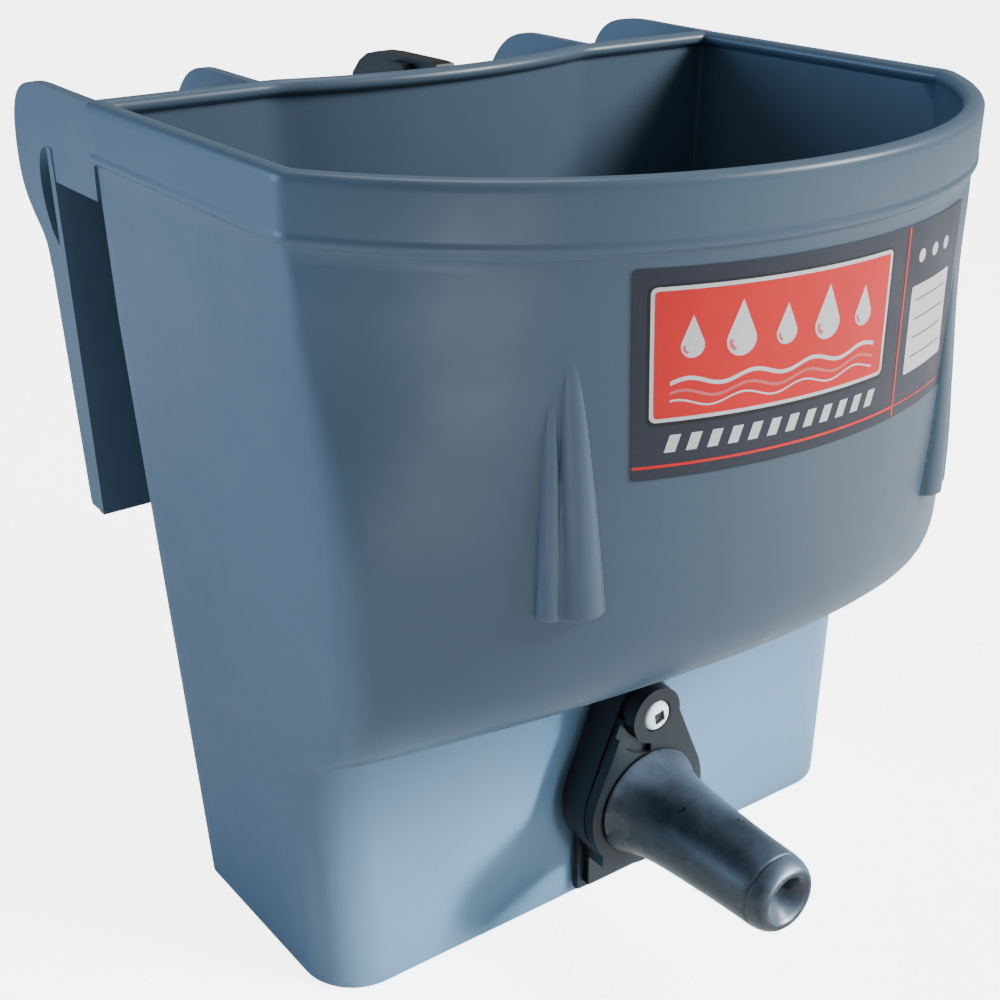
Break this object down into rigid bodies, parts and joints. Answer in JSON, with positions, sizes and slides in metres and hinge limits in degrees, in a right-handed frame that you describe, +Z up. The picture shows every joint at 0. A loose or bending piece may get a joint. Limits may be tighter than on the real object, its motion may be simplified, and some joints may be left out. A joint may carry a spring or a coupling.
{
  "type": "calf feeder bucket",
  "caption": "D-shaped moulded calf feeding bucket with a rail hanger, arch ribs, a spring latch and a rubber teat held low on the front by two swinging jaws.",
  "frame": {"origin": "under the middle of the object, on the plane of the tub's flat base", "axes": "+Z up, the teat points to -Y, the rail hanger is at +Y, +X to the right seen from the teat side"},
  "size_m": [0.28, 0.2844, 0.306],
  "materials": {
    "slate_plastic": "slightly glossy slate blue-grey moulding",
    "label_film": "printed vinyl label",
    "black_plastic": "black satin moulding",
    "black_rubber": "worn black rubber",
    "plated_steel": "zinc plated",
    "spring_steel": "oiled spring wire",
    "white_screw": "white coated screw"
  },
  "bodies": {
    "tub": {"bucket_shell": "slate_plastic", "rim_band": "slate_plastic", "hanger_shelf": "slate_plastic", "hanger_tail": "slate_plastic", "hanger_ribs": "slate_plastic", "front_flutes": "slate_plastic", "label_sheet": "label_film", "latch_bracket": "black_plastic", "latch_pin": "plated_steel", "latch_spring": "spring_steel", "latch_screws": "plated_steel", "latch_nuts": "plated_steel", "pin_clips": "spring_steel", "holder_housing": "black_plastic", "holder_gasket": "black_rubber", "pivot_screw": "white_screw", "pivot_washer": "plated_steel", "backing_plate": "plated_steel", "pivot_nut": "plated_steel", "housing_screws": "plated_steel", "teat": "black_rubber"},
    "latch": {"latch_lever": "black_plastic"},
    "jaw_l": {"jaw_left": "black_plastic"},
    "jaw_r": {"jaw_right": "black_plastic"}
  },
  "joints": [
    {"name": "latch_pivot", "type": "hinge", "parent": "tub", "child": "latch", "pos_m": [0, 0.08825, 0.29], "axis": [1, 0, 0], "range_deg": [-7.5, 0], "stiffness_Nm_per_rad": 0.25, "springref_deg": 6.88},
    {"name": "jaw_left_pivot", "type": "hinge", "parent": "tub", "child": "jaw_l", "pos_m": [0, -0.06525, 0.0869], "axis": [0, 1, 0], "range_deg": [0, 35]},
    {"name": "jaw_right_pivot", "type": "hinge", "parent": "tub", "child": "jaw_r", "pos_m": [0, -0.06525, 0.0869], "axis": [0, -1, 0], "range_deg": [0, 35]}
  ]
}
